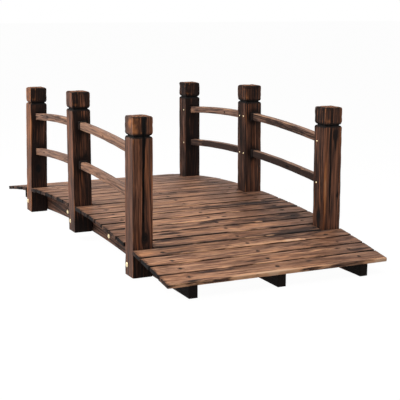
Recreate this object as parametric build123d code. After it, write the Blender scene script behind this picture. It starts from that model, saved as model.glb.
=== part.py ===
from build123d import *
import math
import os

# A small arched garden footbridge of square-sawn timber, in millimetres.
# The origin is on the ground under the middle of the bridge. +X runs along the walkway
# to its front end, +Y across it to the right-hand railing, and +Z up.

# Walkway: flat boards laid across the bridge, side by side on a circular arc.
bridge_length = 1532.0
deck_width = 676.0
crown_height = 113.5
deck_rise = 67.0
board_width = 57.0
board_gap = 4.8
board_thickness = 12.0
board_edge_ease = 1.5

# Posts: one pair stands at the crown, and a pair stands four boards in from each end.
post_size = 59.5
post_length = 447.0
post_setback = 4.25
post_corner_round = 2.5
middle_post_lift = 26.5
boards_beyond_posts = 4
short_board_play = 1.0

# Post heads: a groove cut round all four faces leaves a square knob with rounded edges.
head_height = 45.0
head_top_round = 6.0
groove_height = 18.0
groove_depth = 6.0
groove_floor = 2.0
groove_shoulder_round = 5.0

# Railings: two bowed rails in each bay, let into oversize mortises in the faces of the posts.
rail_height = 23.0
rail_thickness = 20.0
rail_edge_ease = 2.0
rail_below_post_top = 93.0
rail_spacing = 125.0
rail_bow = 6.0
rail_tenon = 20.0
mortise_top_play = 2.0
mortise_side_play = 2.5

# Stringers: three planks on edge, sawn to an arch above and below, each in two halves.
stringer_thickness = 25.0
stringer_overhang = 4.0
arch_rise = 24.5
foot_length = 237.0

# Cleats: short planks that join the two halves of each stringer under the crown.
cleat_length = 460.0
cleat_height = 54.0
cleat_thickness = 22.0
cleat_above_arch = 3.0

# Places that follow from the sizes above.
half_length = bridge_length / 2
half_width = deck_width / 2
arc_radius = (half_length**2 + deck_rise**2) / (2 * deck_rise)
arc_centre_height = crown_height - arc_radius
seat_radius = arc_radius - board_thickness
end_corner_radius = arc_radius - board_edge_ease
end_corner_reach = math.hypot(end_corner_radius, board_width / 2)
end_corner_angle = math.atan2(board_width / 2, end_corner_radius)
end_board_lean = math.asin(half_length / end_corner_reach) - end_corner_angle
boards_each_side = round(arc_radius * end_board_lean / (board_width + board_gap))
board_lean_step = end_board_lean / boards_each_side
end_post_course = boards_each_side - boards_beyond_posts
end_post_x = arc_radius * math.sin(end_post_course * board_lean_step)
post_inner_y = half_width - post_setback - post_size
post_centre_y = post_inner_y + post_size / 2
outer_stringer_y = post_inner_y - stringer_thickness / 2
stringer_end_x = half_length - stringer_overhang
arch_half_span = stringer_end_x - foot_length
arch_radius = (arch_half_span**2 + arch_rise**2) / (2 * arch_rise)

sides = {"left": -1, "right": 1}
bays = {"front": 1, "back": -1}
post_places = {"front": (end_post_x, 0), "middle": (0, middle_post_lift), "back": (-end_post_x, 0)}
stringer_places = {"left": (-outer_stringer_y, 1), "middle": (0, 1), "right": (outer_stringer_y, -1)}


def seat_height(x):
    """Height of the boards' undersides, where they lie on the stringers, at x."""
    return arc_centre_height + math.sqrt(seat_radius**2 - x**2)


def arch_height(x):
    """Height of the arched underside of a stringer at x."""
    return arch_rise - arch_radius + math.sqrt(arch_radius**2 - x**2)


def deck_board(course):
    """One board, flat and tangent to the arc; a course that holds posts gets a shorter board."""
    between_posts = course in (0, end_post_course, -end_post_course)
    length = 2 * (post_inner_y - short_board_play) if between_posts else deck_width
    board = Box(board_width, length, board_thickness)
    board = chamfer(board.edges().filter_by(Axis.Y), board_edge_ease)
    board = Pos(0, 0, arc_radius - board_thickness / 2) * board
    lean = math.degrees(course * board_lean_step)
    return Pos(0, 0, arc_centre_height) * Rot(0, lean, 0) * board


def post_outline():
    """A post seen from one side: a straight shaft and a knob, with a groove between them."""
    edge = post_size / 2
    floor = edge - groove_depth
    shoulder = post_length - head_height - groove_height
    slope = (groove_height - groove_floor) / 2
    shaft = [(edge, 0), (edge, shoulder)]
    groove = [(floor, shoulder + slope), (floor, shoulder + slope + groove_floor)]
    knob = [(edge, shoulder + groove_height), (edge, post_length)]
    right = shaft + groove + knob
    left = [(-x, z) for x, z in reversed(right)]
    outline = make_face(Polyline(*right, *left, close=True))
    levels = outline.vertices().group_by(Axis.Y)
    return Plane.XZ * fillet(levels[1] + levels[4], groove_shoulder_round)


def blank_post():
    """A square post, grooved the same way on all four faces, with the knob's top edges rounded."""
    shaft = extrude(RectangleRounded(post_size, post_size, post_corner_round), post_length)
    grooved_one_way = extrude(post_outline(), post_size, both=True)
    timber = shaft & grooved_one_way & Rot(0, 0, 90) * grooved_one_way
    return fillet(timber.edges().group_by(Axis.Z)[-1], head_top_round)


def bowed_bar(way, drop, side_play=0.0, top_play=0.0):
    """A bowed bar for the front (way 1) or back (way -1) bay, wider and higher by the plays."""
    x_from = way * (post_size / 2 - rail_tenon)
    x_to = way * (end_post_x - post_size / 2 + rail_tenon)
    x_middle = (x_from + x_to) / 2
    z_to = post_length - rail_below_post_top - drop
    z_from = z_to + middle_post_lift
    z_middle = (z_from + z_to) / 2 + rail_bow
    up = top_play
    down = rail_height
    top = ThreePointArc((x_from, z_from + up), (x_middle, z_middle + up), (x_to, z_to + up))
    bottom = ThreePointArc((x_from, z_from - down), (x_middle, z_middle - down), (x_to, z_to - down))
    near_end = Line((x_from, z_from + up), (x_from, z_from - down))
    far_end = Line((x_to, z_to + up), (x_to, z_to - down))
    outline = make_face([top, far_end, bottom, near_end])
    return extrude(Plane.XZ * outline, rail_thickness / 2 + side_play, both=True)


def rail(way, drop, side):
    """One bowed rail with eased edges; its ends rest on the floors of two posts' mortises."""
    bar = bowed_bar(way, drop)
    long_edges = bar.edges().filter_by(GeomType.CIRCLE)
    return Pos(0, side * post_centre_y, 0) * chamfer(long_edges, rail_edge_ease)


def post(x, lift, side):
    """One post in its place, with a mortise for each rail that ends in it."""
    timber = Pos(x, 0, lift) * blank_post()
    for way in bays.values():
        for drop in (0, rail_spacing):
            timber -= bowed_bar(way, drop, mortise_side_play, mortise_top_play)
    return Pos(0, side * post_centre_y, 0) * timber


def stringer_half(way, y):
    """Half a stringer: arched above for the boards, arched below, with a flat foot at its end."""
    end_top = seat_height(stringer_end_x)
    top_middle = (stringer_end_x / 2, seat_height(stringer_end_x / 2))
    arch_middle = (arch_half_span / 2, arch_height(arch_half_span / 2))
    top = ThreePointArc((0, seat_height(0)), top_middle, (stringer_end_x, end_top))
    end = Line((stringer_end_x, end_top), (stringer_end_x, 0))
    foot = Line((stringer_end_x, 0), (arch_half_span, 0))
    arch = ThreePointArc((arch_half_span, 0), arch_middle, (0, arch_rise))
    joint = Line((0, arch_rise), (0, seat_height(0)))
    outline = Plane.XZ * make_face([top, end, foot, arch, joint])
    plank = extrude(outline, stringer_thickness / 2, both=True)
    if way < 0:
        plank = mirror(plank, Plane.YZ)
    return Pos(0, y, 0) * plank


def cleat(stringer_y, inward):
    """The plank bolted to a stringer's face, across the joint of its two halves."""
    y = stringer_y + inward * (stringer_thickness + cleat_thickness) / 2
    z = arch_rise + cleat_above_arch + cleat_height / 2
    return Pos(0, y, z) * Box(cleat_length, cleat_thickness, cleat_height)


parts = {}
for course in range(-boards_each_side, boards_each_side + 1):
    parts[f"deck_board_{course + boards_each_side + 1:02d}"] = deck_board(course)

for side_name, side in sides.items():
    for place, (x, lift) in post_places.items():
        parts[f"post_{side_name}_{place}"] = post(x, lift, side)
    for bay, way in bays.items():
        parts[f"rail_upper_{side_name}_{bay}"] = rail(way, 0, side)
        parts[f"rail_lower_{side_name}_{bay}"] = rail(way, rail_spacing, side)

for stringer_name, (y, inward) in stringer_places.items():
    for bay, way in bays.items():
        parts[f"stringer_{stringer_name}_{bay}"] = stringer_half(way, y)
    parts[f"cleat_{stringer_name}"] = cleat(y, inward)

os.makedirs("parts", exist_ok=True)
for name, solid in parts.items():
    export_step(solid, f"parts/{name}.step")
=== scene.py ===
# %% [markdown]
# A small arched garden footbridge of square-sawn fir.
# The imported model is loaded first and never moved. It says where every timber is and how big
# it is. Each timber is then modelled again here with the detail that a saw, a blowlamp, a wire
# brush and a few seasons leave on it, and the new piece stands exactly where the plain one was.

# %% Load the frame
import math
import random

import bmesh
import bpy
from mathutils import Matrix, Vector, noise


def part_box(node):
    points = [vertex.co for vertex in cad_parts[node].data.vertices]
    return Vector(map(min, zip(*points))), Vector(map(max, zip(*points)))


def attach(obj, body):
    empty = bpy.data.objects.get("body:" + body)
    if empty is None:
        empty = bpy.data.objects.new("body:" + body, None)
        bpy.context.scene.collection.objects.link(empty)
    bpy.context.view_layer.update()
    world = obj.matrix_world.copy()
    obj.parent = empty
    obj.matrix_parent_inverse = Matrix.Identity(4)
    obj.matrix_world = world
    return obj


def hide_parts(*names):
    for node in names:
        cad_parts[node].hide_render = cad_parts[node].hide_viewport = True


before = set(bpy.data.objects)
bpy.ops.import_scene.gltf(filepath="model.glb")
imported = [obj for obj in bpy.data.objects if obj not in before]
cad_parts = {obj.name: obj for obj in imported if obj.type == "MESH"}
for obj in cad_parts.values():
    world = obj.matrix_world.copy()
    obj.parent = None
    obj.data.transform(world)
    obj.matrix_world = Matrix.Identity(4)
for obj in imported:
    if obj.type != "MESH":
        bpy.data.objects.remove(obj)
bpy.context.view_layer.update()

mm = 0.001

# %% [markdown]
# Camera. The picture was taken from the front left with a long lens, a little above the
# handrails. Place, direction and focal length were worked out from the corners of the posts,
# the deck and the stringers, so they are written here as real measures.
# A camera looks along its own -Z with +Y up, so it is first tipped up to the horizon, then
# turned round the vertical, and last rolled about its line of sight.

# %% Camera
camera_place = Vector((3.0406, -1.3255, 0.7529))
camera_heading = math.radians(154.617)
camera_tilt = math.radians(-11.118)
camera_roll = math.radians(0.22)
camera_lens_mm = 91.388


def put_in_scene(name, data):
    """An object that shows a mesh, a lamp or a camera."""
    shown = bpy.data.objects.new(name, data)
    bpy.context.scene.collection.objects.link(shown)
    return shown


camera_data = bpy.data.cameras.new("camera")
camera_data.lens = camera_lens_mm
camera = put_in_scene("camera", camera_data)
camera.matrix_world = (
    Matrix.Translation(camera_place)
    @ Matrix.Rotation(camera_heading - math.pi / 2, 4, "Z")
    @ Matrix.Rotation(camera_tilt + math.pi / 2, 4, "X")
    @ Matrix.Rotation(camera_roll, 4, "Z")
)
bpy.context.scene.camera = camera
bpy.context.scene.view_settings.view_transform = "Standard"
print("camera", round(camera_place.length, 2), "m from the middle of the bridge")

# %% [markdown]
# Nodes. Materials are graphs of nodes. One helper adds a node, sets its properties and fills
# its sockets: a socket gets either a plain value or a link from another node's output.
# Colours are given as sRGB hex values, and shaders work in linear light, so a second
# helper converts them. A third starts a material.

# %% Three helpers for materials
def node(tree, kind, sockets=None, **settings):
    """Adds a ShaderNode; sockets maps an input's name or number to a value or an output."""
    made = tree.nodes.new("ShaderNode" + kind)
    for name, value in settings.items():
        setattr(made, name, value)
    for socket, value in (sockets or {}).items():
        if isinstance(value, bpy.types.NodeSocket):
            tree.links.new(value, made.inputs[socket])
        else:
            made.inputs[socket].default_value = value
    return made


def linear(hex_colour):
    """An sRGB hex colour as linear red, green, blue and alpha."""
    levels = [int(hex_colour[i:i + 2], 16) / 255 for i in (1, 3, 5)]
    return [c / 12.92 if c <= 0.04045 else ((c + 0.055) / 1.055) ** 2.4 for c in levels] + [1.0]


def new_material(name):
    """A new material, its node tree and its surface shader."""
    material = bpy.data.materials.new(name)
    material.use_nodes = True
    return material, material.node_tree, material.node_tree.nodes["Principled BSDF"]


# %% [markdown]
# Torched fir. The timber is fir, a cheap softwood with wide soft earlywood and hard dark
# latewood in every growth ring. It was scorched with a flame, wire-brushed and sealed with a
# thin satin stain. The flame eats the soft earlywood, so the rings stand up in low relief. The
# eye reads long dark lines on a red-brown ground, blue-black clouds of soot, and pale
# orange wood where an arris has been rubbed through.
# An image would be quickest, but it would repeat from board to board and smear on the ends.
# Here every vertex carries an attribute called grain instead: its distance along the grain and
# two distances from the heart of the tree. A growth ring is then a cylinder round the heart,
# and one graph draws long lines on the faces and arcs on the ends, in register over every arris.
# Two more attributes say where the wood is black with soot, dirt or painted shade, and where it
# is rubbed or split bare or carries a painted highlight. They don't paint it: they are added to
# the noise before it is cut off at a level, so that a smooth patch on the mesh turns into a ragged
# one that follows the grain.
# Stain in open pores reflects little, so the specular level is well under that of bare plastic.

# %% The torched fir material
def torched_fir(name, finish):
    """A scorched, brushed and stained softwood; finish holds its colours and how it is charred."""
    material, tree, shader = new_material(name)
    shader.inputs["Specular IOR Level"].default_value = finish["specular"]
    grain = node(tree, "Attribute", attribute_name="grain").outputs["Vector"]
    soot_and_shade = node(tree, "Attribute", attribute_name="soot_and_shade").outputs["Fac"]
    bare_and_highlight = node(tree, "Attribute", attribute_name="bare_and_highlight").outputs["Fac"]

    def grain_noise(size_mm, detail, roughness=0.55):
        """Noise drawn out along the grain; size_mm is the length and width of one patch."""
        length, width = size_mm[0] * mm, size_mm[1] * mm
        stretch = (1 / length, 1 / width, 1 / width)
        stretched = node(tree, "VectorMath", {0: grain, 1: stretch}, operation="MULTIPLY")
        settings = {"Vector": stretched.outputs[0], "Scale": 1.0, "Detail": detail,
                    "Roughness": roughness}
        return node(tree, "TexNoise", settings).outputs["Fac"]

    def maths(operation, *values):
        """One arithmetic step on values or outputs."""
        return node(tree, "Math", dict(enumerate(values)), operation=operation).outputs[0]

    def ramp(value, low, high, to_low=0.0, to_high=1.0):
        """A soft step: to_low below low, to_high above high."""
        sockets = {0: value, 1: low, 2: high, 3: to_low, 4: to_high}
        return node(tree, "MapRange", sockets, interpolation_type="SMOOTHSTEP").outputs[0]

    def blend(share, under, over):
        """Lays one colour over another."""
        sockets = {"Factor": share, 6: under, 7: over}
        return node(tree, "Mix", sockets, data_type="RGBA").outputs[2]

    # Growth rings are cylinders round the heart, bent a little, and each darkens to its hard rim.
    across = node(tree, "VectorMath", {0: grain, 1: (0, 1, 1)}, operation="MULTIPLY")
    radius = node(tree, "VectorMath", {0: across.outputs[0]}, operation="LENGTH")
    sway = maths("MULTIPLY", grain_noise((260, 34), 2), finish["ring_sway"])
    rings = maths("MULTIPLY_ADD", radius.outputs["Value"], 1 / (finish["ring_mm"] * mm), sway)
    phase = maths("FRACT", rings)
    latewood = maths("MULTIPLY", ramp(phase, 0.25, 0.86), ramp(phase, 0.93, 1.0, 1.0, 0.0))

    # Fibres, streaks of scorch along the grain, and clouds where the flame stood longer.
    fibres = grain_noise(finish["fibre_mm"], 4, 0.65)
    streaks = grain_noise(finish["streak_mm"], 3)
    clouds = grain_noise(finish["cloud_mm"], 3, 0.6)

    ring_share = maths("MULTIPLY", latewood, finish["ring_contrast"])
    fibre_share = ramp(fibres, 0.38, 0.64, 0.0, finish["fibre_contrast"])
    dark_share = maths("MINIMUM", maths("ADD", ring_share, fibre_share), 1.0)
    wood = blend(dark_share, linear(finish["earlywood"]), linear(finish["latewood"]))

    warm = ramp(grain_noise((330, 26), 2), 0.46, 0.66, 0.0, finish["warm_share"])
    wood = blend(maths("MULTIPLY", warm, ramp(fibres, 0.3, 0.6, 1.0, 0.3)), wood,
                 linear(finish["warm"]))

    streak_low, streak_high = finish["streak_range"]
    browned = maths("MULTIPLY_ADD", soot_and_shade, finish["soot_and_shade_reach"], streaks)
    scorch = ramp(browned, streak_low, streak_high, 0.0, finish["streak_share"])
    wood = blend(scorch, wood, linear(finish["scorch"]))

    # Soot, and the painted shade carried in the same attribute, darken the wood towards char
    # black.
    ragged = maths("ADD", maths("MULTIPLY", clouds, 0.5), maths("MULTIPLY", fibres, 0.5))
    marked = maths("MULTIPLY_ADD", soot_and_shade, finish["soot_and_shade_spread"], ragged)
    deepest = maths("MAXIMUM", soot_and_shade, finish["cloud_share"])
    sooty_and_shaded = maths("MULTIPLY", ramp(marked, *finish["cloud_range"]), deepest)
    deepest_soot_and_shade = linear("#080605")
    soot_and_shade_colour = blend(ramp(soot_and_shade, 0.75, 1.0, 0.0, 0.75), linear(finish["soot_and_shade"]), deepest_soot_and_shade)
    wood = blend(sooty_and_shaded, wood, soot_and_shade_colour)

    torn = maths("MULTIPLY_ADD", bare_and_highlight, 0.5, maths("SUBTRACT", 1.0, fibres))
    fresh = maths("MULTIPLY", ramp(torn, 0.6, 0.85), ramp(bare_and_highlight, 0.0, 0.3))
    torn_wood = linear("#eabf9c")
    wood = blend(fresh, wood, blend(ramp(bare_and_highlight, 0.85, 1.0), linear(finish["bare_and_highlight"]), torn_wood))
    tree.links.new(wood, shader.inputs["Base Color"])

    # The stain is satin on sound wood and soot is dull.
    gloss = ramp(maths("MULTIPLY_ADD", fibres, 0.3, sooty_and_shaded), 0.0, 1.2, finish["roughness"], 0.9)
    tree.links.new(gloss, shader.inputs["Roughness"])
    relief = maths("MULTIPLY_ADD", latewood, 0.5, maths("MULTIPLY", fibres, -0.9))
    bump = node(tree, "Bump", {"Height": relief, "Strength": 0.8, "Distance": 0.8 * mm})
    tree.links.new(bump.outputs["Normal"], shader.inputs["Normal"])
    return material


# %% [markdown]
# Four finishes from the one recipe. The deck was brushed hardest and is the palest. The
# posts are the darkest and have the boldest grain, the rails lie between, and the stringers
# under the deck are sooty.
# Growth rings of fir are 2 to 5 mm apart and single fibres are far finer. From three metres away
# a millimetre on a post is less than half a picture dot, and the deck is seen so flat that
# ten millimetres across a board make one dot. So fibres are drawn 3 mm wide on the
# posts and 7 mm wide on the deck, as coarse as they need to be to show.

# %% The four finishes
usual = {"ring_contrast": 0.4, "soot_and_shade_reach": 0.3, "soot_and_shade_spread": 0.5, "roughness": 0.55,
         "specular": 0.2}
charred_fir_deck = torched_fir("charred_fir_deck", usual | {
    "earlywood": "#cf9b79", "latewood": "#5a3626", "warm": "#d89261", "scorch": "#4a2b1d",
    "soot_and_shade": "#2e2828", "bare_and_highlight": "#e6ae86", "ring_mm": 7.0, "ring_sway": 2.2,
    "fibre_contrast": 0.66, "warm_share": 0.5,
    "fibre_mm": (60, 7), "streak_mm": (150, 16), "cloud_mm": (90, 34),
    "streak_range": (0.53, 0.68), "streak_share": 0.6, "soot_and_shade_reach": 0.8, "soot_and_shade_spread": 0.3,
    "cloud_range": (0.6, 0.72), "cloud_share": 0.8,
})
charred_fir_posts = torched_fir("charred_fir_posts", usual | {
    "earlywood": "#96634a", "latewood": "#3a2116", "warm": "#a8643a", "scorch": "#241510",
    "soot_and_shade": "#0c0909", "bare_and_highlight": "#b9774a", "ring_mm": 7.0, "ring_sway": 2.0,
    "ring_contrast": 0.45, "fibre_contrast": 0.75, "warm_share": 0.6,
    "fibre_mm": (120, 3.2), "streak_mm": (300, 6), "cloud_mm": (160, 24),
    "streak_range": (0.48, 0.6), "streak_share": 0.75,
    "cloud_range": (0.57, 0.75), "cloud_share": 0.85,
})
charred_fir_rails = torched_fir("charred_fir_rails", usual | {
    "earlywood": "#b0876f", "latewood": "#5a4034", "warm": "#ad7650", "scorch": "#4c3730",
    "soot_and_shade": "#1f1a1a", "bare_and_highlight": "#cfa07a", "ring_mm": 5.0, "ring_sway": 1.6,
    "fibre_contrast": 0.7, "warm_share": 0.4,
    "fibre_mm": (100, 3.5), "streak_mm": (200, 7), "cloud_mm": (120, 24),
    "streak_range": (0.5, 0.64), "streak_share": 0.7,
    "cloud_range": (0.58, 0.72), "cloud_share": 0.75,
})
charred_fir_stringers = torched_fir("charred_fir_stringers", usual | {
    "earlywood": "#8a6452", "latewood": "#38241b", "warm": "#8a5a42", "scorch": "#241813",
    "soot_and_shade": "#0b0909", "bare_and_highlight": "#a87552", "ring_mm": 6.0, "ring_sway": 2.0,
    "fibre_contrast": 0.7, "warm_share": 0.4,
    "fibre_mm": (120, 4), "streak_mm": (260, 8), "cloud_mm": (160, 28),
    "streak_range": (0.46, 0.6), "streak_share": 0.8,
    "cloud_range": (0.52, 0.68), "cloud_share": 0.9, "roughness": 0.65, "specular": 0.15,
})
print("finishes:", [m.name for m in bpy.data.materials if m.name.startswith("charred")])

# %% [markdown]
# Fixings. The bolts and screws are mild steel with a yellow passivated zinc plate, which the
# eye reads as a pale brassy metal with a faint bloom. The deck nails are plain wire nails gone
# dark. Zinc and steel are metals, so they are fully metallic and their colour is their reflection.

# %% Metal materials
def plated_steel(name, pale, dull, roughness, patch_mm):
    """Steel whose plate varies between two tones in patches, metal all over."""
    material, tree, shader = new_material(name)
    shader.inputs["Metallic"].default_value = 1.0
    place = node(tree, "TexCoord").outputs["Object"]
    bloom = node(tree, "TexNoise",
                 {"Vector": place, "Scale": 1 / (patch_mm * mm), "Detail": 3.0}).outputs["Fac"]
    colour = node(tree, "Mix", {"Factor": bloom, 6: linear(pale), 7: linear(dull)},
                  data_type="RGBA").outputs[2]
    tree.links.new(colour, shader.inputs["Base Color"])
    gloss = node(tree, "MapRange",
                 {0: bloom, 1: 0.3, 2: 0.7, 3: roughness, 4: roughness + 0.18}).outputs[0]
    tree.links.new(gloss, shader.inputs["Roughness"])
    return material


yellow_zinc_steel = plated_steel("yellow_zinc_steel", "#fff6dc", "#e6c478", 0.3, 3.0)
dark_wire_nail = plated_steel("dark_wire_nail", "#4a4038", "#241d1a", 0.5, 2.0)
print("metals:", yellow_zinc_steel.name, dark_wire_nail.name)

# %% [markdown]
# Sawn timber. Every piece starts as a cube, stretched to a stick that lies along X, with its
# arrises taken off by a bevel. Then the long edges are subdivided, so that there are enough
# vertices to carry wear and to hold the grain. A subdivision surface would give as many
# vertices, but it would round the stick to a sausage.

# %% A sawn stick and saw lines across it
def slice_evenly(bm, axis, step):
    """Divides every edge that runs along one axis into lengths of about one step."""
    along = []
    for edge in bm.edges:
        run = edge.verts[1].co - edge.verts[0].co
        if abs(run[axis]) > 0.999 * run.length > step:
            along.append(edge)
    cuts = max(1, round(along[0].calc_length() / step) - 1)
    bmesh.ops.subdivide_edges(bm, edges=along, cuts=cuts, use_grid_fill=True)


def slice_at(bm, axis, places):
    """Adds a loop of edges right round the stick at each place on one axis."""
    normal = Vector((axis == 0, axis == 1, axis == 2))
    for place in places:
        everything = bm.verts[:] + bm.edges[:] + bm.faces[:]
        bmesh.ops.bisect_plane(bm, geom=everything, dist=0.01 * mm,
                               plane_co=normal * place, plane_no=normal)


def sawn_stick(length, width, height, ease, steps):
    """A stick centred on the origin, long side on X, with its arrises eased."""
    bm = bmesh.new()
    bmesh.ops.create_cube(bm, size=1.0)
    bmesh.ops.scale(bm, vec=(length, width, height), verts=bm.verts)
    bmesh.ops.bevel(bm, geom=bm.edges[:], offset=ease, offset_type="OFFSET", affect="EDGES",
                    segments=2, profile=0.5, material=-1, clamp_overlap=True)
    for axis, step in enumerate(steps):
        slice_evenly(bm, axis, step)
    return bm


# %% [markdown]
# Grain, soot and wear. These go on before the piece is bent or placed, while the stick still
# lies straight on X. The heart of the tree is a line beside or inside the stick that drifts
# sideways along it; that drift is what gives a flat-sawn board its long pointed arches.
# Near a knot the rings are pushed aside, and the knot itself is darker and has rings of its
# own. A big knot has a sound pale heart, and a small one a black heart.
# The surface is then moved, only ever inwards: a long wave, the ripple of the brushed grain,
# and arrises that are knocked back unevenly.

# %% Curves, noise and faces
def rough(x, y, z):
    """Smooth noise at a point, from about -1 to 1."""
    return noise.noise(Vector((x, y, z)))


def bell(distance, width, power=2):
    """One at no distance, little past the width; a higher power has steeper sides."""
    return math.exp(-(distance / width) ** power)


def fade(distance, length):
    """One at an edge, dying away over a length."""
    return math.exp(-distance / length)


def rise(value, start, softness):
    """A soft step from nought to one where a value passes start."""
    return 1 / (1 + math.exp((start - value) / softness))


faces = {"top": (2, 1), "bottom": (2, -1), "left": (1, 1), "right": (1, -1)}
big_knot = 10 * mm


def tones(bm):
    """The layers that carry soot with painted shade, and bare wood with painted highlight, at each
    vertex.
    """
    return bm.verts.layers.float["soot_and_shade"], bm.verts.layers.float["bare_and_highlight"]


def on_face(vert, face):
    """True where a vertex belongs to one long face of a stick."""
    axis, sign = faces[face]
    return vert.normal[axis] * sign > 0.55


# %% Grain and knots
def add_grain(bm, seed, heart, drift, knots=()):
    """Writes the grain attribute; heart is the tree's centre seen on the stick's end."""
    grain = bm.verts.layers.float_vector.new("grain")
    soot_and_shade = bm.verts.layers.float.new("soot_and_shade")
    bm.verts.layers.float.new("bare_and_highlight")
    start = random.Random(seed).uniform(3, 60)
    bm.normal_update()
    for vert in bm.verts:
        seen = vert.co.copy()
        for face, knot_x, knot_across, size in knots:
            if not on_face(vert, face):
                continue
            side = 3 - faces[face][0]
            dx, dy = vert.co.x - knot_x, vert.co[side] - knot_across
            near = math.exp(-(dx / (3.2 * size)) ** 2 - (dy / (1.3 * size)) ** 2)
            core = math.exp(-((dx / (1.25 * size)) ** 2 + (dy / (0.8 * size)) ** 2) ** 2)
            seen[side] -= 0.92 * near * dy
            sound_heart = math.pi if size > big_knot else 0.0
            ripple = 0.5 + 0.5 * math.cos(7.0 * math.hypot(dx / 1.6, dy) / size + sound_heart)
            vert[soot_and_shade] = min(1.0, vert[soot_and_shade] + core * (0.45 + 0.5 * ripple) + 0.25 * near)
        wave = 6 * mm * math.sin(3.1 * seen.x + start)
        heart_y = heart[0] + drift[0] * seen.x + wave
        heart_z = heart[1] + drift[1] * seen.x + 0.5 * wave
        vert[grain] = Vector((seen.x + start, seen.y - heart_y, seen.z - heart_z))


# %% Smears and cracks
def smear(bm, face, x, across, length, width, strength, layer="soot_and_shade"):
    """Adds a soft-edged patch of soot, or of bare wood, to one face."""
    mark = bm.verts.layers.float[layer]
    side = 3 - faces[face][0]
    for vert in bm.verts:
        if on_face(vert, face):
            reach = abs((vert.co.x - x) * 2 / length) ** 3
            reach += abs((vert.co[side] - across) * 2 / width) ** 3
            vert[mark] = min(1.0, vert[mark] + strength * math.exp(-reach))


def open_crack(bm, face, across, x_from, x_to, width, depth, lean=0.0):
    """Splits a face along the grain: saw lines beside the crack, and its middle drawn inwards."""
    axis, sign = faces[face]
    side = 3 - axis
    slice_at(bm, side, [across + width * w for w in (-1, -0.6, 0, 0.6, 1)])
    bm.normal_update()
    soot_and_shade = bm.verts.layers.float["soot_and_shade"]
    for vert in bm.verts:
        if not on_face(vert, face) or not x_from < vert.co.x < x_to:
            continue
        share = (vert.co.x - x_from) / (x_to - x_from)
        opening = min(1.0, 5 * share, 5 * (1 - share))
        off = abs(vert.co[side] - across) / width
        if off < 0.1:
            vert.co[axis] -= sign * depth * opening
        vert[soot_and_shade] = min(1.0, vert[soot_and_shade] + 2.2 * opening * max(0.0, 1 - off))
        wander = 1.4 * mm * rough(vert.co.x / 0.05, across * 1000, 0.5)
        near = bell(vert.co[side] - across, 0.008)
        vert.co[side] += (wander + lean * (vert.co.x - x_from)) * near


# %% Weather
def weather(bm, seed, size, ripple, knock, knock_length):
    """Moves the surface inwards: brushed ripple on the faces, uneven knocks on the arrises."""
    soot_and_shade, bare_and_highlight = tones(bm)
    shift = random.Random(seed + "weather").uniform(0, 90)
    bm.normal_update()
    half_y, half_z = size[1] / 2, size[2] / 2
    moves = []
    for vert in bm.verts:
        x, y, z = vert.co
        to_arris = max(half_y - abs(y), half_z - abs(z))
        edge = fade(max(0.0, to_arris), 2.2 * mm)
        side = 10.0 * (y > 0) + 20.0 * (z > 0) + shift
        long_wave = rough(x / 0.12 + side, y / 0.03, z / 0.03)
        brushed = rough(x / 0.045 + shift, y / 0.0045, z / 0.0045)
        knocks = rough(x / knock_length + side, y / 0.02, z / 0.02)
        depth = ripple * (0.25 + 0.3 * long_wave + 0.45 * brushed)
        depth += knock * edge * max(0.0, 0.1 + 1.2 * knocks)
        moves.append((vert, -vert.normal * max(0.0, depth)))
        rubs = rough(x / 0.07 + side, 7.7, z / 0.05)
        rubbed = edge * max(0.0, 0.25 + 1.3 * rubs)
        vert[bare_and_highlight] = min(1.0, vert[bare_and_highlight] + rubbed * (1 - vert[soot_and_shade]))
        vert[soot_and_shade] = vert[soot_and_shade] * (1 - 0.3 * rubbed)
    for vert, move in moves:
        vert.co += move


# %% [markdown]
# From stick to piece. The finished bmesh becomes a mesh object whose own place is the origin:
# the timber's place in the bridge is in its vertices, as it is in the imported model. It rides on
# the bridge's one body and replaces the plain timber of the same name.

# %% Make a piece
timbers = []
turned_about = Matrix.Rotation(math.pi, 4, "Z")


def make_piece(name, bm, place, material, replaced=()):
    """Puts a bmesh in its place and makes it a piece of the bridge."""
    bmesh.ops.transform(bm, matrix=place, verts=bm.verts)
    mesh = bpy.data.meshes.new(name)
    bm.to_mesh(mesh)
    bm.free()
    mesh.materials.append(material)
    mesh.shade_smooth()
    piece = put_in_scene(name, mesh)
    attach(piece, "root")
    if replaced:
        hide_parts(*replaced)
    timbers.append(piece)
    return piece


# %% [markdown]
# Deck boards. Twenty-five boards lie across three stringers and are nailed to each. Each lies
# flat at its own lean, so that together they follow the arch. A board is sawn
# flat from the side of a small log, so the heart of the tree lies a few centimetres below or
# above it, and the growth rings surface in long arches.
# All boards of one length start as copies of one stick, which is quick. What makes them
# different comes after: the heart's place, wear, soot, painted shade and highlight, and how
# unevenly they were nailed down.
# The nails are in sunk, stained dimples over the middle of each stringer, where a few lines
# are sawn across the stick, so that the dimples have vertices to be made of.

# %% Sizes of the deck
crown_low, crown_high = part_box("deck_board_13")
end_low, end_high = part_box("deck_board_25")
full_low, full_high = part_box("deck_board_14")
board_width = crown_high.x - crown_low.x
board_thickness = crown_high.z - crown_low.z
short_length = crown_high.y - crown_low.y
full_length = full_high.y - full_low.y
crown_centre = (crown_low + crown_high) / 2
end_centre = (end_low + end_high) / 2
arc_drop = crown_centre.z - end_centre.z
arc_radius = (end_centre.x**2 + arc_drop**2) / (2 * arc_drop)
stringer_rows = [(low.y + high.y) / 2 for low, high in
                 (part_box(f"stringer_{row}_front") for row in ("left", "middle", "right"))]
print("boards", round(full_length / mm), "x", round(board_width / mm), "x",
      round(board_thickness / mm), "mm on an arc of", round(arc_radius, 2), "m")
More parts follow.
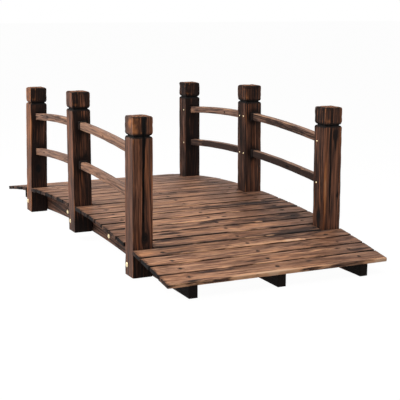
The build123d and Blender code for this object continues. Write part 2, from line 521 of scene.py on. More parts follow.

# %% [markdown]
# Marks on the deck. Some boards were scorched harder than their neighbours, and there are dark
# smears where the flame paused, a chip with fresh wood in it and a pale band along the front
# arris of the front board. Long narrow dark marks along the edges of some boards are painted shade
# in the gaps, with char, and the pale marks along front arrises are partly wear and partly painted
# highlight. Each mark is a board's number, its distances in millimetres from the middle
# of the walkway and from the middle of the board, its length and width, and its strength.

# %% Marks on the deck
soot_and_shade_marks = [
    (16, 120, 8, 420, 26, 0.6), (16, 250, -6, 200, 40, 0.3), (17, 300, 20, 160, 24, 0.6),
    (19, 190, 10, 330, 36, 0.45), (19, -130, 2, 190, 20, 0.5), (20, -180, -8, 70, 16, 0.9),
    (21, 150, 12, 300, 36, 0.5), (21, -200, -18, 110, 18, 0.6), (22, -222, 20, 80, 14, 0.95),
    (25, -160, -20, 150, 14, 0.85), (24, -60, 6, 120, 16, 0.35), (24, 290, 12, 60, 14, 0.7),
    (24, 120, 8, 70, 10, 0.7), (19, -20, -14, 60, 14, 0.7), (25, -262, 24, 46, 16, 1.0),
    (12, 60, 4, 380, 40, 0.4), (8, -120, 0, 300, 42, 0.45), (4, 90, 0, 420, 46, 0.5),
    (7, 230, 0, 220, 50, 0.4), (10, 240, 0, 200, 50, 0.35), (3, 230, 0, 240, 50, 0.4),
    (22, 60, -16, 380, 26, 0.35), (22, 150, 12, 60, 10, 0.5), (23, 90, -14, 200, 20, 0.3),
    # The marks from here on lie along board edges: painted shade in the gaps, with char.
    (19, 80, 28, 500, 9, 0.7), (20, 0, 28, 700, 9, 0.8), (21, 0, 27, 640, 12, 1.0),
    (22, 0, -28, 700, 6, 0.7), (23, 200, 28, 240, 7, 0.6), (22, 146, 30, 60, 5, 0.9),
]
bare_and_highlight_marks = [
    # Pale marks along front arrises: wear, and painted highlight.
    (25, -30, 24, 240, 14, 0.6), (25, -36, 26, 80, 14, 0.8), (22, 40, 20, 300, 14, 0.5),
    (22, 128, 21, 28, 17, 1.2), (22, 156, 22, 24, 14, 1.2), (22, 176, 24, 10, 9, 1.0),
    (19, 128, 27, 30, 8, 0.9), (24, 180, -10, 160, 14, 0.4), (25, 300, 24, 80, 12, 0.5),
    (21, 98, 27, 24, 8, 0.8), (18, -60, 20, 200, 14, 0.6), (15, -40, 12, 240, 18, 0.5),
]
# On the front face of the last board: distance along it, length, strength and kind.
front_face_marks = [(-36, 70, 0.8, "bare_and_highlight"), (-256, 40, 1.0, "soot_and_shade"), (318, 50, 0.7, "bare_and_highlight")]
# The nails of some boards sit this far, in millimetres, from the board's middle.
nail_offsets = {20: -6, 21: 6, 22: 8, 23: 9, 24: 3, 25: -3}
print(len(soot_and_shade_marks), "marks of soot and", len(bare_and_highlight_marks), "of bare wood on the deck")

# %% [markdown]
# Edges of the boards. Fire licks up through the gaps and blackens sides and ends, and the sides
# darken further the deeper they go into a gap: char there, and painted shade. The front arrises
# are lightened, by the rub of feet and by a painted highlight where they catch the light, and the
# two outermost ones are nearly clean. The rear strip of the boards near the front gets patches
# of soot and painted shade. Each is a distance from an edge that a bell curve turns into a
# strength and noise makes uneven. Painting by hand would look as good, but it couldn't be
# written down.

# %% Blank boards and their edges
first_board, crown_board, last_board = 1, 13, 25
ramp_starts = 8


def board_blank(length):
    """A board before it is a particular board, with extra saw lines where nails will be."""
    size = (length, board_width, board_thickness)
    bm = sawn_stick(*size, ease=1.6 * mm, steps=(8 * mm, 2.4 * mm, 4 * mm))
    for row in stringer_rows:
        slice_at(bm, 0, [row + d * mm for d in (-5, -2.8, -1, 1, 2.8, 5)])
    return bm


def char_and_shade_board_edges(bm, number, length, shift):
    """Blackens a board's ends and sides with char and painted shade, and lightens its front arris
    with wear and a painted highlight; shift moves the noise.
    """
    soot_and_shade, bare_and_highlight = tones(bm)
    worn_side = {first_board: 1, last_board: -1}.get(number, 0)
    on_ramp = abs(number - crown_board) > ramp_starts
    for vert in bm.verts:
        uneven = rough(vert.co.x / 0.06 + shift, vert.co.y * 9, 0)
        to_side = board_width / 2 - abs(vert.co.y)
        below = board_thickness / 2 - vert.co.z
        # The board edges are darker along the railings than in the middle of the walkway.
        flank = rise(vert.co.x, 0.12, 0.03) + rise(-vert.co.x, 0.27, 0.02)
        amidships = bell(vert.co.x, 0.13, 4)
        edge_char_and_shade = (0.0 if on_ramp else 0.9 - 0.3 * amidships) + 0.7 * flank + 0.8 * uneven
        rubbed = 0.0
        # The front arris is lightened: wear, and a painted highlight where it catches the light.
        if vert.co.y < 0 and number > crown_board:
            patchy = rough(vert.co.x / 0.09 + shift, 3.3, 0)
            rubbed = bell(to_side, 7 * mm) * max(0.0, 0.3 + 0.9 * patchy - 0.5 * flank)
            vert[bare_and_highlight] += rubbed * (0.7 if on_ramp else 0.5)
        # The rear strip gets patches of soot and painted shade.
        elif number > crown_board + 3:
            patchy = rough(vert.co.x / 0.12 + shift, 9.9, 0)
            patchy = max(0.0, 0.02 + 0.6 * patchy) * (0.5 if on_ramp else 1.0)
            vert[soot_and_shade] += patchy * min(1.0, vert.co.y / (12 * mm))
        edge_char_and_shade -= 0.6 * rubbed
        below *= 0.6 if on_ramp else 1.0
        if vert.co.y * worn_side > 0:
            vert[bare_and_highlight] += fade(to_side, 3 * mm) * max(0.0, 0.15 + 0.9 * uneven)
            edge_char_and_shade = 0.32 - 0.5 * uneven
            below = 0.0
        # The sides darken with their depth below the top: char, and painted shade in the gaps.
        burnt = min(1.0, 1.3 * bell(to_side, 2.6 * mm)) * (edge_char_and_shade + below / (2 * mm))
        to_end = length / 2 - abs(vert.co.x)
        burnt += fade(to_end, 1.6 * mm) * (0.95 + uneven)
        vert[soot_and_shade] = min(1.0, max(vert[soot_and_shade], burnt))


# %% Board ends, marks and nails
def saw_ends(bm, length, chance):
    """Shortens each end of a board by its own amount, out of square and a little torn."""
    reach = 12 * mm
    for end in (-1, 1):
        cut = chance.uniform(0.2, 2.8) * mm
        skew = chance.uniform(-0.035, 0.035)
        shift = chance.uniform(0, 90)
        for vert in bm.verts:
            to_end = length / 2 - vert.co.x * end
            if to_end < reach:
                torn = rough(vert.co.y / 0.006, vert.co.z / 0.004, shift)
                short = max(0.1 * mm, cut + skew * vert.co.y + 1.3 * mm * torn)
                vert.co.x -= end * short * (1 - to_end / reach)


def mark_board(bm, number):
    """Puts a board's own marks on it, painted shade on the right of the deck, and on most boards a
    darker left end.
    """
    for layer, marks in (("soot_and_shade", soot_and_shade_marks), ("bare_and_highlight", bare_and_highlight_marks)):
        for board, along, across, long, wide, strength in marks:
            if board == number:
                size = (long * mm, wide * mm)
                smear(bm, "top", along * mm, -across * mm, *size, strength, layer)
    # The right of the deck gets painted shade, more on boards 14 to 22, and the left ends of all
    # boards but the front five are darker.
    right_shade_share = 0.3 if 23 > number > crown_board else 0.2
    smear(bm, "top", 250 * mm, 0, 300 * mm, 100 * mm, right_shade_share)
    if number < 21:
        smear(bm, "top", -320 * mm, 0, 100 * mm, 100 * mm, 0.22)
    if number == last_board:
        for along, long, strength, layer in front_face_marks:
            smear(bm, "right", along * mm, 0, long * mm, 40 * mm, strength, layer)


def drive_nail(bm, nail):
    """Sinks a stained dimple round a nail."""
    soot_and_shade, bare_and_highlight = tones(bm)
    for vert in bm.verts:
        if abs(vert.co.x - nail.x) < 9 * mm and vert.co.z > 0:
            off = math.hypot(vert.co.x - nail.x, vert.co.y - nail.y)
            vert.co.z -= 1.1 * mm * bell(off, 3.6 * mm, 4)
            vert[soot_and_shade] = min(1.0, vert[soot_and_shade] + 1.2 * bell(off, 5.6 * mm, 4))
            vert[bare_and_highlight] = vert[bare_and_highlight] * (1 - bell(off, 6 * mm))


# %% Deck boards
nail_places = []


def lay_board(number, blank, length):
    """Grains, marks, weathers and lays one board."""
    name = f"deck_board_{number:02d}"
    chance = random.Random(name)
    low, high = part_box(name)
    centre = (low + high) / 2
    lean = math.asin(centre.x / arc_radius)
    bm = blank.copy()
    heart = (chance.uniform(-24, 24) * mm, chance.choice((-1, 1)) * chance.uniform(18, 46) * mm)
    drift = (chance.uniform(-0.03, 0.03), chance.uniform(-0.035, 0.035))
    knots = [("top", chance.uniform(-0.45, 0.45) * length, chance.uniform(-0.3, 0.3) * board_width,
              chance.uniform(3, 6) * mm) for _ in range(chance.choice((0, 1, 1, 2)))]
    add_grain(bm, name, heart, drift, knots)
    mark_board(bm, number)
    char_and_shade_board_edges(bm, number, length, chance.uniform(0, 90))
    size = (length, board_width, board_thickness)
    weather(bm, name, size, ripple=0.4 * mm, knock=1.1 * mm, knock_length=0.05)
    saw_ends(bm, length, chance)
    sink = chance.uniform(0.0, 0.8) * mm
    inside = first_board < number < last_board
    turn = math.radians(chance.uniform(-0.12, 0.12)) if inside else 0.0
    tilt = math.radians(chance.uniform(-0.5, 0.5)) if inside else 0.0
    place = (Matrix.Translation(centre) @ Matrix.Rotation(lean + tilt, 4, "Y")
             @ Matrix.Translation((0, 0, -sink)) @ Matrix.Rotation(math.pi / 2 + turn, 4, "Z"))
    for row in stringer_rows:
        offset = nail_offsets.get(number, chance.uniform(-9, 9)) * mm
        nail = Vector((row, -offset, board_thickness / 2))
        drive_nail(bm, nail)
        nail_places.append(place @ Matrix.Translation(nail - Vector((0, 0, 1.0 * mm))))
    make_piece(name + "_sawn", bm, place, charred_fir_deck, [name])


blanks = {length: board_blank(length) for length in (full_length, short_length)}
for number in range(first_board, last_board + 1):
    low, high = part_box(f"deck_board_{number:02d}")
    is_full = high.y - low.y > (full_length + short_length) / 2
    length = full_length if is_full else short_length
    lay_board(number, blanks[length], length)
print(len(timbers), "boards,", len(timbers[0].data.vertices), "vertices each")

# %% [markdown]
# Posts. Each post is one square stick. A groove with rounded shoulders is cut round it below
# the head, and the top of the head is rounded over. Seen as a lathe would see it, both are
# only a question of how far the four faces are drawn in at each height, so one short function
# answers that, and whole rings of vertices are scaled by it. That mitres the groove at the
# corners by itself, which a boolean cut would also do, but with ragged triangles.
# The mortises are rectangles of faces pushed into the post with an extrude.

# %% Post heads
post_low, post_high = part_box("post_left_front")
post_size = post_high.x - post_low.x
post_length = post_high.z - post_low.z
head_height = 45 * mm
head_round = 6 * mm
groove_height = 18 * mm
groove_depth = 6 * mm
groove_floor = 2 * mm
rail_bow = 6 * mm
rail_tenon = 20 * mm
mortise_side_play = 2.5 * mm
mortise_top_play = 2 * mm
groove_middle = post_length - head_height - groove_height / 2


def drawn_in(height):
    """How far each face of a post is drawn in at a height above the post's foot."""
    below_top = height - (post_length - head_round)
    if below_top > 0:
        return head_round - math.sqrt(max(0.0, head_round**2 - below_top**2))
    above = height - groove_middle
    reach = groove_height / 2 + (2 * mm if above > 0 else -1.5 * mm)
    share = 1 - max(0.0, abs(above) - groove_floor / 2) / reach
    return groove_depth * (1 - math.sqrt(1 - max(0.0, share) ** 2))


print("groove", round(groove_depth / mm), "mm deep,", round(groove_middle / mm), "mm up the post")

# %% Lean of the posts, and mortises
# How each post leans: its shift to the right at its foot and at its head.
post_stance = {
    "post_left_front": (-0.3 * mm, 2.6 * mm), "post_left_middle": (-2.5 * mm, -3.5 * mm),
    "post_left_back": (-2 * mm, 6.5 * mm), "post_right_front": (2 * mm, -1.2 * mm),
    "post_right_middle": (2 * mm, -3.5 * mm), "post_right_back": (2 * mm, 0.4 * mm),
}


def stance(side_name, place_name, z):
    """Sideways shift of a post at a height above the ground."""
    foot, head = post_stance[f"post_{side_name}_{place_name}"]
    return foot + (head - foot) * z / post_length


def cut_mortise(bm, side, bottom, top, half_width):
    """Pushes a rectangle of one side face into the post and blackens its inside with soot and
    painted shade.
    """
    slice_at(bm, 0, (bottom, top))
    slice_at(bm, 2, (-half_width, half_width))
    bm.normal_update()
    opening = []
    for face in bm.faces:
        middle = face.calc_center_median()
        if face.normal.y * side > 0.8 and bottom < middle.x < top and abs(middle.z) < half_width:
            opening.append(face)
    pushed = bmesh.ops.extrude_face_region(bm, geom=opening)["geom"]
    inner = [item for item in pushed if isinstance(item, bmesh.types.BMVert)]
    bmesh.ops.translate(bm, vec=(0, -side * rail_tenon, 0), verts=inner)
    soot_and_shade = bm.verts.layers.float["soot_and_shade"]
    for vert in inner:
        vert[soot_and_shade] = 1.0


def rail_top(share, low, high, height):
    """Top of a rail at a share of its length, from the middle post's end to the outer end."""
    middle_top, outer_top = high.z, low.z + height
    return middle_top + (outer_top - middle_top) * share + 4 * rail_bow * share * (1 - share)


# %% Sizes of the rails
rail_low, rail_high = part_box("rail_upper_left_front")
rail_length = rail_high.x - rail_low.x
rail_width = rail_high.y - rail_low.y
rail_height = 23 * mm
print("rails", round(rail_length / mm), "x", round(rail_width / mm), "x", round(rail_height / mm))

# %% [markdown]
# Marks on the posts. The groove and the edges of the head are burnt black. Both front posts
# have a drying crack in the face, wide on the left and fine on the right, with soot beside
# it, and a big knot near the deck, as has the left back post. These marks are tables too. The
# stick lies on X until it is stood up: its left is the post's front, its bottom the left side.

# %% Marks on the posts
# A knot: the face, its places along the post and across it, and its size.
post_knots = {
    "post_left_front": [("left", -112 * mm, 6 * mm, 11 * mm)],
    "post_left_back": [("left", -66 * mm, -3 * mm, 13 * mm)],
    "post_right_front": [("bottom", -104 * mm, 2 * mm, 10.5 * mm),
                         ("left", -40 * mm, 18 * mm, 4 * mm)],
    "post_left_middle": [("left", 20 * mm, 10 * mm, 4 * mm)],
}
# A crack: the face, its place across it, its two ends, its width and depth, and its slant.
post_cracks = {
    "post_left_front": ("left", 0.0, -130 * mm, post_length / 2 + 9 * mm, 4.2 * mm, 6 * mm, 0.012),
    "post_right_front": ("left", -8 * mm, -120 * mm, 150 * mm, 1.6 * mm, 1.6 * mm, 0.0),
}
# A smear: the face, millimetres along and across, length and width, strength and kind.
post_smears = {
    "post_left_front": [
        ("left", 200, 2.5, 70, 11, 1.0, "soot_and_shade"), ("left", 190, 4, 120, 9, 0.8, "soot_and_shade"),
        ("left", 205, -16, 30, 16, 0.25, "bare_and_highlight"), ("left", 205, 20, 30, 10, 0.15, "bare_and_highlight"),
        ("left", 200, 0, 70, 60, 0.12, "soot_and_shade"), ("bottom", 205, 8, 34, 26, 0.6, "bare_and_highlight"),
    ],
    "post_right_front": [
        ("left", 144, 8, 40, 20, 0.55, "soot_and_shade"), ("left", 118, 8, 60, 9, 0.5, "soot_and_shade"),
        ("left", 60, -8, 280, 7, 0.6, "soot_and_shade"), ("left", 200, 0, 70, 60, 0.3, "soot_and_shade"),
        ("bottom", 200, 0, 70, 60, 0.1, "soot_and_shade"), ("left", -20, -24, 170, 8, 0.9, "bare_and_highlight"),
    ],
}
# How much a post is darkened on its outer, front and inner side: partly char, and partly painted
# shade that deepens towards the back of the bridge and on the right posts' inner sides.
post_char_and_shade = {
    "post_left_front": (0.02, 0.04, 0.1), "post_left_middle": (0.1, 0.34, 0.2),
    "post_left_back": (-0.28, 0.44, 0.2), "post_right_front": (0.0, -0.04, 0.28),
    "post_right_middle": (0.0, 0.22, 0.34), "post_right_back": (0.0, 0.5, 0.4),
}
print("cracks on", ", ".join(post_cracks))


# %% Marking a post, and charring and shading it
# Height of the painted shade at the foot of the posts, under the deck.
deck_shade_top = 0.075


def mark_post(bm, name):
    """Opens a post's crack and lays its smears, in that order."""
    if name in post_cracks:
        open_crack(bm, *post_cracks[name])
    for face, along, across, long, wide, strength, layer in post_smears.get(name, ()):
        smear(bm, face, along * mm, across * mm, long * mm, wide * mm, strength, layer)


def char_and_shade_post(bm, name, outward, foot):
    """Darkens a post's sides with char and painted shade, burns its groove and head, and paints
    shade near its base; foot is its height above the ground.
    """
    soot_and_shade, bare_and_highlight = tones(bm)
    outer, front, inner = post_char_and_shade[name]
    for vert in bm.verts:
        # Char, and painted shade, on each side, from the table above.
        across = vert.normal.z * outward
        vert[soot_and_shade] += max(0, across) * outer + max(0, -across) * inner
        vert[soot_and_shade] += max(0, vert.normal.y) * front
        # The outer side of the left back post is made paler.
        if name == "post_left_back":
            vert[bare_and_highlight] += 0.3 * max(0, across)
        height = vert.co.x + post_length / 2
        # Painted shade under the deck, near the foot of the post and heaviest on its front face.
        shade_below_deck = 0.12 + 0.2 * max(0, vert.normal.y)
        vert[soot_and_shade] += shade_below_deck / (1 + math.exp((height + foot - deck_shade_top) / 0.01))
        uneven = rough(vert.co.y / 0.012, vert.co.z / 0.012, height / 0.01)
        burnt = 1.2 * bell(height - groove_middle, 4.2 * mm)
        burnt += fade(post_length - height, 3.5 * mm) * (0.6 + 1.2 * uneven)
        vert[soot_and_shade] = min(1.0, max(0.0, vert[soot_and_shade] + burnt))
        if height > post_length - 0.5 * mm:
            vert[bare_and_highlight] = 0.35
        elif height > groove_middle + 6 * mm:
            vert[bare_and_highlight] += 0.5 * max(0.0, uneven)


# %% [markdown]
# From stick to post. Saw lines lie closest where groove and head curve most. Marks, char and
# painted shade go on while the stick is square, then the head is shaped, the mortises are pushed
# in, and last the post is leaned over: real ones are bolted on by eye, a few millimetres out of
# plumb.

# %% Posts
bays = {"front": 1, "back": -1}


def shape_head(bm, shift):
    """Draws whole rings of vertices in for groove and head, and chews the head a little."""
    for vert in bm.verts:
        height = vert.co.x + post_length / 2
        ring = 1 - 2 * drawn_in(height) / post_size
        vert.co.y *= ring
        vert.co.z *= ring
        if height > groove_middle:
            dents = noise.noise(vert.co / 0.011 + Vector((7.0, 3.0, shift)))
            chewed = 1 - 0.045 * max(0.0, dents + 0.1)
            vert.co.y *= chewed
            vert.co.z *= chewed
            if height > post_length - 3 * mm:
                vert.co.x -= 1.6 * mm * max(0.0, dents)


def rail_ends(side_name, place_name):
    """The box of every rail that ends in a post, and which way its bay goes."""
    return [(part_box(f"rail_{level}_{side_name}_{bay}"), way) for bay, way in bays.items()
            for level in ("upper", "lower") if place_name in ("middle", bay)]


def stand_post(side_name, place_name):
    """Models one post and stands it in its place."""
    name = f"post_{side_name}_{place_name}"
    chance = random.Random(name)
    low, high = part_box(name)
    size = (post_length, post_size, post_size)
    bm = sawn_stick(*size, ease=1.5 * mm, steps=(5.5 * mm, 2.6 * mm, 2.6 * mm))
    half = post_length / 2
    levels = [groove_middle + d * mm for d in (-8.5, -6, -4, -2.6, -1.6, -1, 1, 1.8, 3, 5, 8, 12)]
    levels += [post_length - d * mm for d in (6, 4.4, 3, 1.8, 0.9)]
    slice_at(bm, 0, [level - half for level in levels])
    heart = (chance.uniform(-20, 20) * mm, chance.choice((-1, 1)) * chance.uniform(14, 30) * mm)
    drift = (chance.uniform(-0.03, 0.03), chance.uniform(-0.03, 0.03))
    add_grain(bm, name, heart, drift, post_knots.get(name, ()))
    mark_post(bm, name)
    char_and_shade_post(bm, name, -1 if side_name == "left" else 1, low.z)
    shape_head(bm, heart[0] / mm)
    at_middle = place_name == "middle"
    share = rail_tenon / rail_length if at_middle else 1 - rail_tenon / rail_length
    for rail_box, way in rail_ends(side_name, place_name):
        side = way if at_middle else -way
        top = rail_top(share, *rail_box, rail_height) - low.z - half
        mortise_face = "left" if side > 0 else "right"
        # Soot and painted shade on the face round the mortise.
        smear(bm, mortise_face, top - rail_height / 2, 0.0, 50 * mm, 44 * mm, 0.35)
        cut_mortise(bm, side, top - rail_height, top + mortise_top_play,
                    rail_width / 2 + mortise_side_play)
    weather(bm, name, size, ripple=0.4 * mm, knock=1.7 * mm, knock_length=0.03)
    for vert in bm.verts:
        vert.co.z += stance(side_name, place_name, vert.co.x + half + low.z)
    place = Matrix.Translation((low + high) / 2) @ Matrix((
        (0, 1, 0, 0), (0, 0, 1, 0), (1, 0, 0, 0), (0, 0, 0, 1)))
    return make_piece(name + "_hewn", bm, place, charred_fir_posts, [name])


for side_name in ("left", "right"):
    for place_name in ("front", "middle", "back"):
        post = stand_post(side_name, place_name)
print("posts of", len(post.data.vertices), "vertices")

# %% [markdown]
# Rails. A rail is a slim stick with a gentle bow, sawn to its curve and eased by hand. The stick
# is grained while straight and then each vertex is lifted onto the curve, which is quicker to
# read than a curve modifier and needs nothing applied afterwards. Its ends stand in mortises
# that have play, so each rail lies a little to one side in them and follows its leaning posts.

# %% Rails
# How much the rails are darkened on the side that faces the walkway: partly char and partly
# painted shade, most on the lower rails.
rail_char_and_shade = {("upper", "front"): 0.36, ("lower", "front"): 0.8, ("upper", "back"): 0.18,
             ("lower", "back"): 0.55}
# How the rails of a bay lie: to the right at the middle and at the outer post, and up.
rail_lie = {
    ("left", "front"): (-2.2 * mm, -1.0 * mm, 0.0),
    ("left", "back"): (-2.2 * mm, -1.0 * mm, 0.0),
    ("right", "front"): (-2.2 * mm, -1.0 * mm, 1.4 * mm),
    ("right", "back"): (-2.2 * mm, 1.6 * mm, 0.0),
}


def hang_rail(level, side_name, bay, way):
    """Models one rail, bows it and sets its ends in the mortises."""
    name = f"rail_{level}_{side_name}_{bay}"
    chance = random.Random(name)
    low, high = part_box(name)
    size = (rail_length, rail_width, rail_height)
    bm = sawn_stick(*size, ease=1.8 * mm, steps=(6 * mm, 2.2 * mm, 2.2 * mm))
    heart = (chance.uniform(-20, 20) * mm, chance.uniform(12, 40) * mm)
    drift = (chance.uniform(-0.03, 0.03), chance.uniform(-0.03, 0.03))
    knots = [("left", chance.uniform(-0.3, 0.3) * rail_length, chance.uniform(-5, 5) * mm,
              3 * mm), ("right", chance.uniform(-0.3, 0.3) * rail_length, 0.0, 3 * mm)]
    add_grain(bm, name, heart, drift, knots)
    soot_and_shade = bm.verts.layers.float["soot_and_shade"]
    inward = way if side_name == "left" else -way
    for vert in bm.verts:
        vert[soot_and_shade] += max(0, vert.normal.y * inward) * rail_char_and_shade[level, bay]
        if bay == "back" and level == "upper":
            vert[soot_and_shade] += 0.22 * max(0, -vert.normal.y * inward)
        # Soot and painted shade on the rail where it enters the mortise, deeper on the lower rail.
        to_mortise = rail_length / 2 - rail_tenon - abs(vert.co.x)
        mortise_soot_and_shade = 0.25 if level == "upper" else 0.5
        vert[soot_and_shade] = min(1.0, vert[soot_and_shade] + mortise_soot_and_shade * fade(max(0.0, to_mortise), 4 * mm))
    weather(bm, name, size, ripple=0.45 * mm, knock=1.2 * mm, knock_length=0.05)
    lie_at_middle, lie_at_end, lift = rail_lie[side_name, bay]
    for vert in bm.verts:
        share = vert.co.x / rail_length + 0.5
        vert.co.z += rail_top(share, low, high, rail_height) - rail_height / 2
        at_middle = stance(side_name, "middle", vert.co.z) + lie_at_middle
        at_end = stance(side_name, bay, vert.co.z) + lie_at_end
        vert.co.y += way * (at_middle + (at_end - at_middle) * share)
        vert.co.z += lift
    place = Matrix.Translation(((low.x + high.x) / 2, (low.y + high.y) / 2, 0))
    if way < 0:
        place = place @ turned_about
    return make_piece(name + "_bowed", bm, place, charred_fir_rails, [name])


for side_name in ("left", "right"):
    for bay, way in bays.items():
        for level in ("upper", "lower"):
            rail = hang_rail(level, side_name, bay, way)
print("rails of", len(rail.data.vertices), "vertices")

# %% [markdown]
# Stringers and cleats. Each of the three stringers is two planks on edge, sawn to the deck's arc
# above and to a flatter arch below, and a cleat behind the joint holds the halves together.
# The stick keeps its rings of vertices, and each ring is stretched between the two curves. The
# grain is written after that, because a saw cuts across the grain and doesn't bend it.

# %% Stringers and cleats
arch_rise = 24.5 * mm
foot_length = 237 * mm
seat_radius = arc_radius - board_thickness / 2
stringer_low, stringer_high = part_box("stringer_left_front")
stringer_length = stringer_high.x - stringer_low.x
stringer_thickness = stringer_high.y - stringer_low.y
arch_half_span = stringer_length - foot_length
coarse = {"ease": 1.5 * mm, "steps": (9 * mm, 4 * mm, 4 * mm)}
gentle = {"ripple": 0.3 * mm, "knock": 0.5 * mm, "knock_length": 0.06}


def seat_height(x):
    """Top of a stringer at a distance from the middle of the bridge."""
    return stringer_high.z - seat_radius + math.sqrt(seat_radius**2 - x**2)


def arch_height(x):
    """Underside of a stringer at a distance from the middle of the bridge."""
    return arch_rise * max(0.0, 1 - (x / arch_half_span) ** 2)


def set_stringer(row, bay, way):
    """Models half a stringer and sets it on its row."""
    name = f"stringer_{row}_{bay}"
    chance = random.Random(name)
    low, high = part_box(name)
    height = stringer_high.z - arch_rise
    size = (stringer_length, stringer_thickness, height)
    bm = sawn_stick(*size, **coarse)
    for vert in bm.verts:
        x = vert.co.x + stringer_length / 2
        share = vert.co.z / height + 0.5
        vert.co.z = arch_height(x) + share * (seat_height(x) - arch_height(x))
    heart = (chance.uniform(-40, 40) * mm, chance.uniform(-20, 60) * mm)
    add_grain(bm, name, heart, (chance.uniform(-0.02, 0.02), chance.uniform(-0.02, 0.02)))
    soot_and_shade = bm.verts.layers.float["soot_and_shade"]
    for vert in bm.verts:
        vert.co.z -= height / 2
        vert[soot_and_shade] += 0.9 * fade(stringer_length / 2 - vert.co.x, 60 * mm)
    weather(bm, name, size, **gentle)
    for vert in bm.verts:
        vert.co.z = max(0.0, vert.co.z + height / 2)
    place = Matrix.Translation((way * stringer_length / 2, (low.y + high.y) / 2, 0))
    if way < 0:
        place = place @ turned_about
    make_piece(name + "_sawn", bm, place, charred_fir_stringers, [name])


def set_cleat(row):
    """Models one cleat from the size of its node."""
    name = f"cleat_{row}"
    chance = random.Random(name)
    low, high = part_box(name)
    size = high - low
    bm = sawn_stick(*size, **coarse)
    add_grain(bm, name, (chance.uniform(-30, 30) * mm, 0.03), (0.01, 0.02))
    weather(bm, name, size, **gentle)
    place = Matrix.Translation((low + high) / 2)
    make_piece(name + "_sawn", bm, place, charred_fir_stringers, [name])


for row in ("left", "middle", "right"):
    for bay, way in bays.items():
        set_stringer(row, bay, way)
    set_cleat(row)
print("stringers end", round(stringer_length / mm), "mm from the middle")

# %% [markdown]
# Shapes of the fixings. Bolt heads and washers are profiles spun about Z, and a nut is a
# six-sided disc with a bevel. Small equal things are joined into one piece, so that the
# bridge doesn't fall apart into a hundred objects.

# %% Turned profiles and nuts
def turned(profile, steps=20):
    """Spins a profile of (radius, height) in millimetres, from bottom to top, about Z."""
    bm = bmesh.new()
    points = [bm.verts.new((radius * mm, 0, height * mm)) for radius, height in profile]
    edges = [bm.edges.new(pair) for pair in zip(points, points[1:])]
    bmesh.ops.spin(bm, geom=points + edges, cent=(0, 0, 0), axis=(0, 0, 1),
                   angle=2 * math.pi, steps=steps, use_merge=True)
    bmesh.ops.remove_doubles(bm, verts=bm.verts, dist=0.01 * mm)
    bmesh.ops.recalc_face_normals(bm, faces=bm.faces)
    return bm


def hexagon_nut(across_corners, thickness):
    """A plain hexagon nut with its corners knocked off."""
    bm = bmesh.new()
    made = bmesh.ops.create_circle(bm, cap_ends=True, segments=6, radius=across_corners / 2)
    face = made["verts"][0].link_faces[0]
    raised = bmesh.ops.extrude_face_region(bm, geom=[face])["geom"]
    top = [item for item in raised if isinstance(item, bmesh.types.BMVert)]
    bmesh.ops.translate(bm, vec=(0, 0, thickness), verts=top)
    bmesh.ops.recalc_face_normals(bm, faces=bm.faces)
    bmesh.ops.bevel(bm, geom=bm.edges[:], offset=0.5 * mm, offset_type="OFFSET",
                    affect="EDGES", segments=2, profile=0.5, material=-1)
    return bm


def scatter(name, shape, places, material):
    """One piece that holds a copy of a small shape at every place."""
    pattern = bpy.data.meshes.new(name + "_pattern")
    shape.to_mesh(pattern)
    shape.free()
    joined = bmesh.new()
    for place in places:
        copy = pattern.copy()
        copy.transform(place)
        joined.from_mesh(copy)
        bpy.data.meshes.remove(copy)
    bpy.data.meshes.remove(pattern)
    make_piece(name, joined, Matrix.Identity(4), material)
    print(name, "x", len(places))


# %% [markdown]
# Places of the fixings. A domed bolt goes through every post and through each half of every
# cleat, with a washer and a hexagon nut on the inner side. Screws hold the rails in their
# mortises from the walkway side. Heads and nuts lie on the boxes of the timbers and follow the
# lean of their post, but no bolt head stands out beyond the ends of the boards.

# %% Places of bolts and screws
def facing(point, direction):
    """A place at a point, with Z along a direction."""
    turn = Vector(direction).to_track_quat("Z", "Y").to_matrix().to_4x4()
    return Matrix.Translation(point) @ turn


def face_y(box, way):
    """Where a box's right (way 1) or left (way -1) face is."""
    return box[way > 0].y


bolt_heads, bolt_ends, screw_heads = [], [], []
furthest_out = full_length / 2 - 3 * mm
post_bolt_height = {"front": 30 * mm, "middle": 57 * mm, "back": 34 * mm}
cleat_bolt_x = (172 * mm, -232 * mm)
cleat_bolt_height = 41 * mm

for side_name, outward in (("left", -1), ("right", 1)):
    stringer_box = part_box(f"stringer_{side_name}_front")
    inner_y = face_y(stringer_box, -outward)
    cleat_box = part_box(f"cleat_{side_name}")
    for place_name, z in post_bolt_height.items():
        post_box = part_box(f"post_{side_name}_{place_name}")
        middle_x = (post_box[0].x + post_box[1].x) / 2
        x = middle_x - 16 * mm
        outer_y = face_y(post_box, outward)
        outer_y = min(outward * (outer_y + stance(side_name, place_name, z)), furthest_out)
        bolt_heads.append(facing((x, outward * outer_y, z), (0, outward, 0)))
        behind = abs(x) < cleat_box[1].x
        nut_y = inner_y - outward * (cleat_box[1].y - cleat_box[0].y if behind else 0.0)
        bolt_ends.append(facing((x, nut_y, z), (0, -outward, 0)))
        at_middle = place_name == "middle"
        reach = 0.3 * rail_tenon / rail_length
        share = reach if at_middle else 1 - reach
        for rail_box, way in rail_ends(side_name, place_name):
            screw_x = middle_x + (14 if at_middle else -13) * way * mm
            screw_z = rail_top(share, *rail_box, rail_height) - rail_height / 2
            screw_y = face_y(post_box, -outward) + stance(side_name, place_name, screw_z)
            screw_heads.append(facing((screw_x, screw_y, screw_z), (0, -outward, 0)))

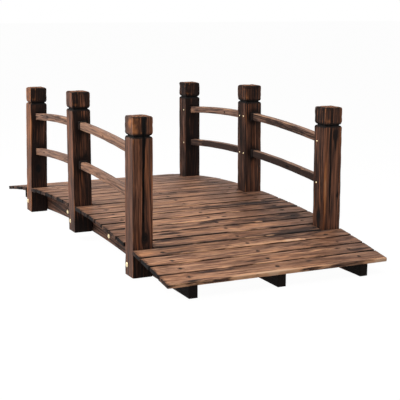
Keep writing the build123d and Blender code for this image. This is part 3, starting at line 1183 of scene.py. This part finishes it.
for row in ("left", "middle", "right"):
    stringer_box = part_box(f"stringer_{row}_front")
    cleat_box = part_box(f"cleat_{row}")
    inward = 1 if cleat_box[0].y > stringer_box[0].y else -1
    for x in cleat_bolt_x:
        head_point = (x, face_y(stringer_box, -inward), cleat_bolt_height)
        nut_point = (x, face_y(cleat_box, inward), cleat_bolt_height)
        bolt_heads.append(facing(head_point, (0, -inward, 0)))
        bolt_ends.append(facing(nut_point, (0, inward, 0)))
print(len(bolt_heads), "bolts and", len(screw_heads), "screws")

# %% Bolts, washers, nuts, screws and nails
dome = [(0, -1), (7.2, -1), (7.4, 0.1), (6.9, 1.1), (5.6, 2.0), (3.8, 2.6), (1.8, 2.88), (0, 2.95)]
washer = [(0, -0.5), (7.5, -0.5), (8.0, 0), (8.0, 1.0), (7.6, 1.3), (0, 1.3)]
shank_end = [(0, 0), (3, 0), (3, 8.2), (2.4, 9.0), (0, 9.0)]
screw_head = [(0, -0.5), (2.9, -0.5), (3.0, 0.2), (2.5, 0.9), (1.3, 1.2), (0, 1.25)]
nail_head = [(0, -1), (2.3, -1), (2.7, 0), (2.5, 0.35), (1.4, 0.55), (0, 0.6)]
scatter("bolt_heads", turned(dome), bolt_heads, yellow_zinc_steel)
scatter("bolt_washers", turned(washer), bolt_ends, yellow_zinc_steel)
scatter("bolt_nuts", hexagon_nut(11.5 * mm, 6 * mm), bolt_ends, yellow_zinc_steel)
scatter("bolt_shank_ends", turned(shank_end, 12), bolt_ends, yellow_zinc_steel)
scatter("rail_screws", turned(screw_head, 14), screw_heads, yellow_zinc_steel)
scatter("deck_nails", turned(nail_head, 12), nail_places, dark_wire_nail)

# %% [markdown]
# Floor and light. The bridge stands on a plain white floor in a white studio. A floor lit by
# lamps is never quite even, so for the camera a good share of it is made of its own plain
# white, and the rest still takes the bridge's shadow. Other rays see an ordinary pale floor,
# so that it throws a natural light up under the deck. The world is white where the camera or
# a reflection looks at it, and gentler as a light.

# %% Floor
def ray_is(tree, *kinds):
    """One for rays of the named kinds, and nought for all others."""
    rays = node(tree, "LightPath")
    share = rays.outputs[kinds[0]]
    for kind in kinds[1:]:
        share = node(tree, "Math", {0: share, 1: rays.outputs[kind]},
                     operation="MAXIMUM").outputs[0]
    return share


own_white_share = 0.88
floor_bm = bmesh.new()
bmesh.ops.create_grid(floor_bm, x_segments=4, y_segments=4, size=30.0)
floor_mesh = bpy.data.meshes.new("floor")
floor_bm.to_mesh(floor_mesh)
floor_bm.free()
floor = put_in_scene("floor", floor_mesh)

floor_paint, tree, floor_shader = new_material("white_studio_floor")
floor_shader.inputs["Base Color"].default_value = linear("#c0bebc")
floor_shader.inputs["Roughness"].default_value = 0.9
floor_shader.inputs["Specular IOR Level"].default_value = 0.0
own_white = node(tree, "Emission", {"Color": (1, 1, 1, 1), "Strength": 1.1})
looked_at = ray_is(tree, "Is Camera Ray", "Is Glossy Ray")
share = node(tree, "Math", {0: looked_at, 1: own_white_share}, operation="MULTIPLY")
mixed = node(tree, "MixShader", {0: share.outputs[0],
             1: floor_shader.outputs[0], 2: own_white.outputs[0]})
tree.links.new(mixed.outputs[0], tree.nodes["Material Output"].inputs["Surface"])
floor_mesh.materials.append(floor_paint)
print("floor", round(2 * max(v.co.x for v in floor_mesh.vertices)), "m wide")

# %% World and lamps
world = bpy.data.worlds.new("white_studio")
bpy.context.scene.world = world
world.use_nodes = True
tree = world.node_tree
looked_at = ray_is(tree, "Is Camera Ray", "Is Glossy Ray", "Is Transmission Ray")
world_light = 0.18
strength = node(tree, "MapRange", {0: looked_at, 1: 0.0, 2: 1.0, 3: world_light, 4: 1.0})
tree.links.new(strength.outputs[0], tree.nodes["Background"].inputs["Strength"])
tree.nodes["Background"].inputs["Color"].default_value = (1, 1, 1, 1)


def softbox(name, place, aim, width, watts):
    """A square soft lamp at a place, turned to what it lights."""
    lamp = bpy.data.lights.new(name, "AREA")
    lamp.size = width
    lamp.energy = watts
    holder = put_in_scene(name, lamp)
    direction = Vector(aim) - Vector(place)
    holder.matrix_world = (Matrix.Translation(place)
                           @ direction.to_track_quat("-Z", "Y").to_matrix().to_4x4())


bridge_heart = (0.1, 0, 0.15)
softbox("key_left", (-0.4, -1.9, 1.8), bridge_heart, 1.2, 50)
softbox("top_front", (1.4, 0.3, 2.4), bridge_heart, 1.2, 25)
